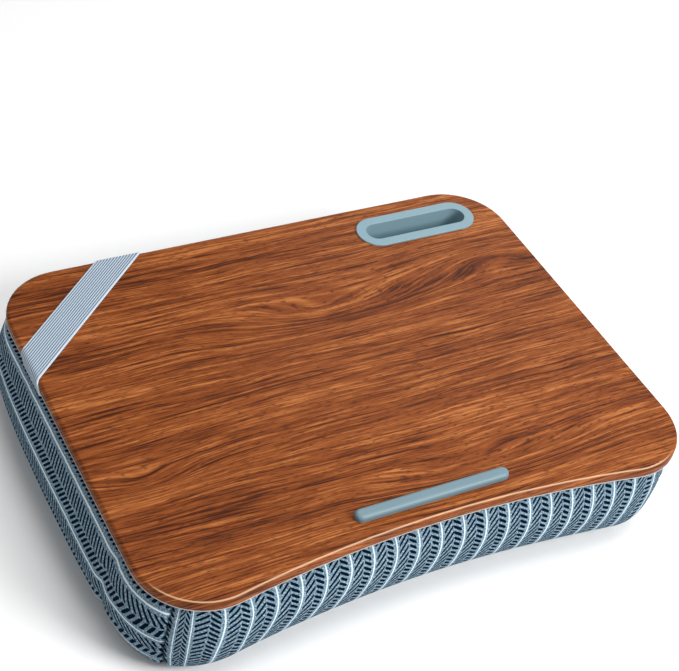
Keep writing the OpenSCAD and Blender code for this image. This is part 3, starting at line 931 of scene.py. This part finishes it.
def side_panel(side, grid, rest, material, sizes):
    """Panel of one side, its rows running from the front seam to the rear one."""
    indices = grid.left if side == "left" else grid.right
    rows_at, cols_at = between_seams(GRID_DEEP), half_steps(0, GRID_HIGH)
    points = refine(grid.points[indices], rows_at, cols_at)
    flat = refine(rest[indices], rows_at, cols_at)
    up = run_length(flat, 1)
    below = up[:, -1:] - up - SIDE_PRINT_TOP
    far = run_length(flat[:, -1:], 0)
    along = far
    from_front = run_length(flat, 0)
    near = np.minimum(from_front, from_front[-1:] - from_front)
    if side == "left":
        # Its columns run the other way, so that its faces point outwards too
        points, below, near, up = (a[:, ::-1] for a in (points, below, near, up))
        along = far[-1:] - far
    points, seam = seam_dip(points, near, up)
    stretch = read_places(far, SIDE_PLACES)
    uv = np.stack([below * stretch, np.broadcast_to(along, below.shape)], -1)
    return cloth_panel("cover_" + side, points, uv, {"seam": seam, "skew": seam * 0}, material,
                       sizes.cloth)


# Pieces

SLOT_PAINTED_LIGHT = 1.35            # the phone slot's plastic is the ledge's, painted this much lighter as painted light
FILLING_SLACK = 3 * MM       # how much further in the bag and the beads lie


class LAPDESK_OT_board(bpy.types.Operator):
    """Gives the board its wood-grain film, its core and its backing sheet"""

    bl_idname = "lapdesk.board"
    bl_label = "Board"

    def execute(self, context):
        colours = context.scene.lapdesk_colours
        dress("woodgrain_film", wood_material(colours))
        dress("board_core", fibreboard_material(colours))
        dress("backing_sheet", backing_material(colours))
        return {"FINISHED"}


class LAPDESK_OT_fittings(bpy.types.Operator):
    """Gives the ledge, the phone slot, the screws and the staples their finishes"""

    bl_idname = "lapdesk.fittings"
    bl_label = "Fittings"

    def execute(self, context):
        colours = context.scene.lapdesk_colours
        steel = steel_material(colours)
        # The phone slot gets a lit copy of the ledge's plastic: painted light, not a paler plastic
        slot_lit_colour = shade(colours.plastic, SLOT_PAINTED_LIGHT)
        dress("device_ledge", plastic_material("ledge_plastic", colours.plastic))
        dress("slot_liner", plastic_material("slot_plastic_lit", slot_lit_colour))
        dress("ledge_screws", steel)
        dress("strap_staples", steel)
        return {"FINISHED"}


class LAPDESK_OT_cushion(bpy.types.Operator):
    """Makes the swollen cushion and its printed cover in three panels"""

    bl_idname = "lapdesk.cushion"
    bl_label = "Cushion cover"

    def execute(self, context):
        sizes = context.scene.lapdesk_sizes
        prints = context.scene.lapdesk_print
        cloth = cloth_material(context.scene.lapdesk_colours, prints)
        grid = CushionGrid(sizes)
        rest = grid.points.copy()
        inflate(grid)
        grid.points = draw_in(grid.points)
        wrap = wrap_panel(grid, rest, cloth, sizes, prints.repeat)
        left = side_panel("left", grid, rest, cloth, sizes)
        right = side_panel("right", grid, rest, cloth, sizes)
        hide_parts("cover_wrap_panel")
        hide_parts("cover_side_left")
        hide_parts("cover_side_right")
        for thing in (wrap, left, right):
            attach(thing, "desk")
        return {"FINISHED"}


def copy_solid(node, name, material, slack=0.0):
    """A plain copy of a CAD node's solid with its loose triangles merged, which lies so much
    further in from the cover's walls."""
    mesh = bpy.data.meshes.new(name)
    work = bmesh.new()
    work.from_mesh(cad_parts[node].data)
    bmesh.ops.remove_doubles(work, verts=work.verts, dist=1e-6)
    bmesh.ops.recalc_face_normals(work, faces=work.faces)
    work.to_mesh(mesh)
    work.free()
    points = np.zeros(len(mesh.vertices) * 3)
    mesh.vertices.foreach_get("co", points)
    points = points.reshape(-1, 3) * (1 - slack / HALF_W, 1 - slack / HALF_D, 1)
    mesh.vertices.foreach_set("co", draw_in(points).ravel())
    mesh.update()
    mesh.materials.clear()
    mesh.materials.append(material)
    thing = bpy.data.objects.new(name, mesh)
    bpy.context.scene.collection.objects.link(thing)
    return thing


class LAPDESK_OT_filling(bpy.types.Operator):
    """Makes the felt top, the inner bag and the beads inside the cover"""

    bl_idname = "lapdesk.filling"
    bl_label = "Felt and filling"

    def execute(self, context):
        colours = context.scene.lapdesk_colours
        felt = copy_solid("cover_top_panel", "cover_top", felt_material(colours))
        lining = lining_material(colours)
        bag = copy_solid("lining_bag", "bead_bag", lining, FILLING_SLACK)
        beads = copy_solid("bead_fill", "bead_filling", bead_material(colours), FILLING_SLACK)
        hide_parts("cover_top_panel")
        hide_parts("lining_bag")
        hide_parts("bead_fill")
        for thing, slot in ((felt, "felt"), (bag, "lining_cloth"), (beads, "beads")):
            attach(thing, "desk")
        return {"FINISHED"}


# Strap

STRAP_GAP = 0.1 * MM     # between the strap and the board
TAIL = 32 * MM           # length of a tail under the board
TURN = 1.2 * MM          # length of the strap that turns in under the board
RIB_HEIGHT = 0.45 * MM
RIB_ROUND = 0.7          # below 1, the ribs are flatter and their gaps narrower
RIB_COLUMNS = 6          # columns of the mesh to each rib
EDGE_ROW = 24            # row of the mesh at which the board's edge starts to round


def fold(laid, lift, edge_radius):
    """Outward reach and height of a point of the strap. Laid is its distance past the start
    of the edge's rounding, and lift its height off the board."""
    quarter = edge_radius * math.pi / 2
    wall = BOARD_TOP - edge_radius - UNDERSIDE
    a = math.pi / 2 - np.clip(laid, 0, quarter) / edge_radius
    out = edge_radius * (np.cos(a) - 1) + lift * np.cos(a)
    up = BOARD_TOP - edge_radius * (1 - np.sin(a)) + lift * np.sin(a)
    up = up - np.clip(laid - quarter, 0, wall)
    under = np.clip(laid - quarter - wall, 0, TURN) / TURN * math.pi / 2
    out = out - lift * (1 - np.cos(under))
    up = up - lift * np.sin(under)
    out = out + np.minimum(laid, 0) - np.maximum(laid - quarter - wall - TURN, 0)
    return out, up


def strap_half(sizes, side):
    """Points [row, column] of one half's outer face from the middle to its tail's end, its
    inner face, and the place across and along."""
    span = np.array([sizes.strap_in, sizes.strap_down])
    along = span / np.linalg.norm(span)
    across = np.array([-along[1], along[0]])
    crossing = np.array([[-HALF_W, HALF_D - sizes.strap_down], [sizes.strap_in - HALF_W, HALF_D]])
    middle = crossing.mean(axis=0)
    r = sizes.edge_radius
    columns = np.linspace(-0.5, 0.5, sizes.strap_ribs * RIB_COLUMNS + 1) * sizes.strap_width
    quarter, wall = r * math.pi / 2, BOARD_TOP - r - UNDERSIDE
    turned = quarter + wall + TURN
    # Rows round the board's edge, down its wall, round the turn and along the tail
    laid_at = np.concatenate([
        np.linspace(0, quarter, 7)[1:], np.linspace(quarter, quarter + wall, 4)[1:],
        np.linspace(quarter + wall, turned, 5)[1:],
        np.linspace(turned, quarter + wall + TAIL, 14)[1:]])
    axis, start = (0, -HALF_W + r) if side == "left" else (1, HALF_D - r)
    sign = -1 if side == "left" else 1

    def reach(laid):
        return (start + sign * laid - middle[axis] - columns * across[axis]) / along[axis]

    edge = reach(0.0)
    rows = [edge * t for t in np.linspace(0, 1, EDGE_ROW + 1)] + [reach(laid) for laid in laid_at]
    s = np.array(rows)
    flat = middle + s[..., None] * along + columns[None, :, None] * across
    laid = sign * (flat[..., axis] - start)

    def lifted(lift):
        out, up = fold(laid, lift, r)
        point = np.zeros(flat.shape[:2] + (3,))
        point[..., 1 - axis] = flat[..., 1 - axis]
        point[..., axis] = np.where(laid < 0, flat[..., axis], start + sign * (out + r))
        point[..., 2] = up
        return point

    share = (columns / sizes.strap_width + 0.5)[None, :] * np.ones_like(s)
    return lifted(STRAP_GAP + sizes.strap_thickness), lifted(STRAP_GAP), share, np.abs(s)


def rib_tree(ribs, height, material):
    """Geometry nodes that raise lengthwise ribs on the outer face of the webbing."""
    tree = bpy.data.node_groups.new("webbing_ribs", "GeometryNodeTree")
    socket = tree.interface.new_socket
    socket("Geometry", in_out="INPUT", socket_type="NodeSocketGeometry")
    count = socket("Rib count", in_out="INPUT", socket_type="NodeSocketInt")
    tall = socket("Rib height", in_out="INPUT", socket_type="NodeSocketFloat")
    socket("Geometry", in_out="OUTPUT", socket_type="NodeSocketGeometry")
    new = tree.nodes.new
    link = tree.links.new
    start, end = new("NodeGroupInput"), new("NodeGroupOutput")
    across, rise = new("GeometryNodeInputNamedAttribute"), new("GeometryNodeInputNamedAttribute")
    across.data_type, rise.data_type = "FLOAT", "FLOAT_VECTOR"
    across.inputs["Name"].default_value = "across"
    rise.inputs["Name"].default_value = "rise"

    def calc(operation, *values):
        node = new("ShaderNodeMath")
        node.operation = operation
        for target, value in zip(node.inputs, values):
            if isinstance(value, bpy.types.NodeSocket):
                link(value, target)
            else:
                target.default_value = value
        return node.outputs[0]

    place = calc("MULTIPLY", across.outputs[0], start.outputs["Rib count"])
    wave = calc("ABSOLUTE", calc("SINE", calc("MULTIPLY", place, math.pi)))
    lift = calc("MULTIPLY", calc("POWER", wave, RIB_ROUND), start.outputs["Rib height"])
    scale, move = new("ShaderNodeVectorMath"), new("GeometryNodeSetPosition")
    scale.operation = "SCALE"
    link(rise.outputs[0], scale.inputs[0])
    link(lift, scale.inputs["Scale"])
    link(start.outputs["Geometry"], move.inputs["Geometry"])
    link(scale.outputs[0], move.inputs["Offset"])
    real, paint = new("GeometryNodeRealizeInstances"), new("GeometryNodeSetMaterial")
    paint.inputs["Material"].default_value = material
    link(move.outputs[0], real.inputs[0])
    link(real.outputs[0], paint.inputs["Geometry"])
    link(paint.outputs[0], end.inputs["Geometry"])
    return tree, {count.identifier: ribs, tall.identifier: height}


def grown(thing, tree, values):
    """Runs a geometry tree on an object and keeps the result as a plain mesh."""
    modifier = thing.modifiers.new(tree.name, "NODES")
    modifier.node_group = tree
    for identifier, value in values.items():
        modifier[identifier] = value
    thing.update_tag()
    shown = thing.evaluated_get(bpy.context.evaluated_depsgraph_get())
    plain = bpy.data.meshes.new_from_object(shown)
    thing.modifiers.remove(modifier)
    thing.data = plain
    return thing


def strap_mesh(sizes, side, material):
    """One half of the strap before its ribs, with the attributes that the ribs need. Also
    returns the middle of its row at the board's edge and the middle of the strap."""
    outer, inner, across, along = strap_half(sizes, side)
    rows, cols = outer.shape[:2]
    count = rows * cols
    points = np.concatenate([outer.reshape(-1, 3), inner.reshape(-1, 3)])
    top = np.arange(count).reshape(rows, cols)
    loop = np.concatenate([top[0, :-1], top[:-1, -1], top[-1, :0:-1], top[:0:-1, 0]])
    rim = np.stack([loop, np.roll(loop, -1), np.roll(loop, -1) + count, loop + count], -1)
    faces = np.concatenate([grid_quads(top), grid_quads(top + count)[:, ::-1], rim])
    if side == "rear":
        # Its rows run the other way round, so its faces are turned to point outwards
        faces = faces[:, ::-1]
    uv = np.stack([across, along], -1).reshape(-1, 2)
    thing = mesh_object("strap_" + side, points, faces, np.concatenate([uv, uv]), "webbing")
    thing.data.materials.append(material)
    layer = thing.data.attributes.new("across", "FLOAT", "POINT")
    layer.data.foreach_set("value", np.concatenate([across.ravel()] * 2).astype(np.float32))
    rise = (outer - inner).reshape(-1, 3)
    rise = rise / np.maximum(np.linalg.norm(rise, axis=1, keepdims=True), TINY)
    rise = np.concatenate([rise, rise * 0]).astype(np.float32)
    layer = thing.data.attributes.new("rise", "FLOAT_VECTOR", "POINT")
    layer.data.foreach_set("vector", rise.ravel())
    return thing, outer[EDGE_ROW, cols // 2], outer[0, cols // 2]


class LAPDESK_OT_strap(bpy.types.Operator):
    """Makes the ribbed elastic strap in two halves"""

    bl_idname = "lapdesk.strap"
    bl_label = "Elastic strap"

    def execute(self, context):
        sizes = context.scene.lapdesk_sizes
        material = webbing_material(context.scene.lapdesk_colours, sizes.strap_ribs)
        tree, values = rib_tree(sizes.strap_ribs, RIB_HEIGHT, material)
        for side in ("left", "rear"):
            thing, start, end = strap_mesh(sizes, side, material)
            thing = grown(thing, tree, values)
            thing.data.set_sharp_from_angle(angle=math.radians(50))
            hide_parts("elastic_strap")
            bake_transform(thing)
        return {"FINISHED"}


# Stage

# Camera at the photograph's angle: place, turns in degrees, and lens in millimetres
CAMERA_PLACE = (-0.50913, -0.70751, 0.89055)
CAMERA_TURN = (47.5782, -8.6641, -27.3827)
CAMERA_LENS = 82.613
CAMERA_SENSOR = 36.0

# Lights: name, place, what each is aimed at, width and power in watts
LIGHTS = [
    ("key", (0.85, -1.35, 1.25), (0.0, 0.0, 0.05), 0.7, 36.0),
    ("top", (0.25, -0.1, 1.9), (0.0, 0.0, 0.05), 1.3, 20.0),
    ("far", (1.15, 1.15, 1.15), (0.1, 0.05, 0.08), 0.9, 4.0),
]
SKY_STRENGTH = 0.42

# Half the floor's width, and how far it lies below the cushion, clear of its underside
FLOOR_HALF = 6.0
FLOOR_DROP = 0.3 * MM


def area_light(name, place, target, size, power):
    """A soft square light that is aimed at a point."""
    data = bpy.data.lights.new(name, "AREA")
    data.shape = "SQUARE"
    data.size = size
    data.energy = power
    thing = bpy.data.objects.new(name, data)
    thing.location = place
    aim = np.array(target) - np.array(place)
    thing.rotation_euler = Vector(aim).to_track_quat("-Z", "Y").to_euler()
    bpy.context.scene.collection.objects.link(thing)


def floor_object(colours):
    """The pale floor, with a faint cloudiness."""
    g = Graph("pale_floor", Roughness=0.9)
    cloud = g.noise(g.place(), 3.0, 2.0, 0.5)
    g.colour(g.mix(cloud, shade(colours.floor, 0.99), shade(colours.floor, 1.01)))
    signs = ((-1, -1), (1, -1), (1, 1), (-1, 1))
    corners = [(x * FLOOR_HALF, y * FLOOR_HALF, -FLOOR_DROP) for x, y in signs]
    floor = mesh_object("floor", corners, [(0, 1, 2, 3)])
    floor.data.materials.append(g.material)
    return floor


class LAPDESK_OT_stage(bpy.types.Operator):
    """Sets the pale floor, the soft lights and the camera"""

    bl_idname = "lapdesk.stage"
    bl_label = "Stage"

    def execute(self, context):
        scene = context.scene
        floor_object(scene.lapdesk_colours)
        world = bpy.data.worlds.new("soft_studio")
        world.use_nodes = True
        sky = world.node_tree.nodes["Background"]
        sky.inputs["Color"].default_value = (1.0, 1.0, 1.0, 1.0)
        sky.inputs["Strength"].default_value = SKY_STRENGTH
        scene.world = world
        for light in LIGHTS:
            area_light(*light)
        scene.view_settings.view_transform = "Standard"
        data = bpy.data.cameras.new("camera")
        data.lens = CAMERA_LENS
        data.sensor_width = CAMERA_SENSOR
        camera = bpy.data.objects.new("camera", data)
        camera.location = CAMERA_PLACE
        camera.rotation_euler = Euler([math.radians(a) for a in CAMERA_TURN])
        scene.collection.objects.link(camera)
        scene.camera = camera
        return {"FINISHED"}


class LAPDESK_PT_panel(bpy.types.Panel):
    """Sizes, colours and pieces of the lap desk"""

    bl_idname = "LAPDESK_PT_panel"
    bl_label = "Lap Desk"
    bl_space_type = "VIEW_3D"
    bl_region_type = "UI"
    bl_category = "Lap Desk"

    def draw(self, context):
        layout = self.layout
        for group in (context.scene.lapdesk_sizes, context.scene.lapdesk_print,
                      context.scene.lapdesk_colours):
            box = layout.box()
            for key in group.bl_rna.properties.keys():
                if key not in ("rna_type", "name"):
                    box.prop(group, key)
        for operator in OPERATORS:
            layout.operator(operator.bl_idname)


GROUPS = (LapDeskSizes, LapDeskPrint, LapDeskColours)
OPERATORS = (LAPDESK_OT_board, LAPDESK_OT_fittings, LAPDESK_OT_filling, LAPDESK_OT_cushion,
             LAPDESK_OT_strap, LAPDESK_OT_stage)


def register():
    for item in GROUPS + OPERATORS + (LAPDESK_PT_panel,):
        bpy.utils.register_class(item)
    bpy.types.Scene.lapdesk_sizes = bpy.props.PointerProperty(type=LapDeskSizes)
    bpy.types.Scene.lapdesk_print = bpy.props.PointerProperty(type=LapDeskPrint)
    bpy.types.Scene.lapdesk_colours = bpy.props.PointerProperty(type=LapDeskColours)


def unregister():
    del bpy.types.Scene.lapdesk_sizes
    del bpy.types.Scene.lapdesk_print
    del bpy.types.Scene.lapdesk_colours
    for item in reversed(GROUPS + OPERATORS + (LAPDESK_PT_panel,)):
        bpy.utils.unregister_class(item)


def main():
    register()
    bpy.ops.lapdesk.stage()
    bpy.ops.lapdesk.board()
    bpy.ops.lapdesk.fittings()
    bpy.ops.lapdesk.filling()
    bpy.ops.lapdesk.cushion()
    bpy.ops.lapdesk.strap()


if __name__ == "__main__":
    main()
